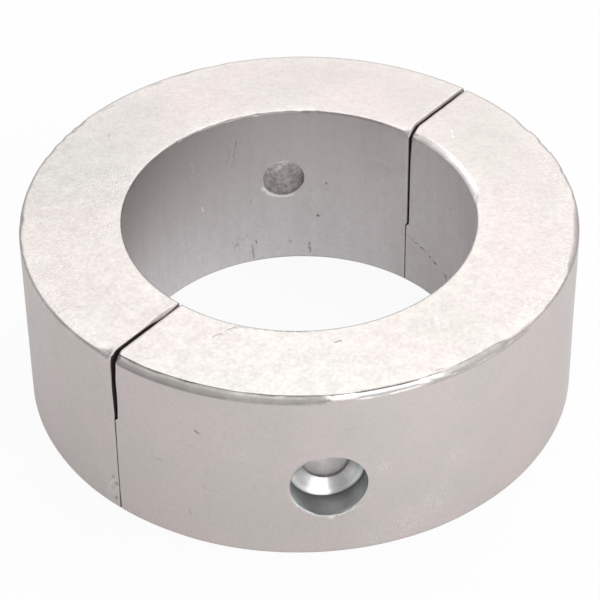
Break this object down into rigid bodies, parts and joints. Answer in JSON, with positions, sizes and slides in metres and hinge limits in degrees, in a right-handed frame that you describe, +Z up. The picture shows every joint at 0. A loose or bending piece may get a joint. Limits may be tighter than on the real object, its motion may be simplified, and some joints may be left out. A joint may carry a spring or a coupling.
{
  "type": "split collar sacrificial anode",
  "caption": "Split collar sacrificial anode: a thick plain ring in two half rings, each with a radial counterbored bolt hole.",
  "frame": {"origin": "bottom centre of the ring, on the bore's axis", "axes": "+Z up along the bore's axis, the split between the halves along X, front_half at -Y"},
  "size_m": [0.12, 0.12, 0.0425],
  "materials": {
    "anode_alloy": "satin as-cast, lightly machined"
  },
  "bodies": {
    "root": {"front_half": "anode_alloy", "rear_half": "anode_alloy"}
  },
  "joints": []
}
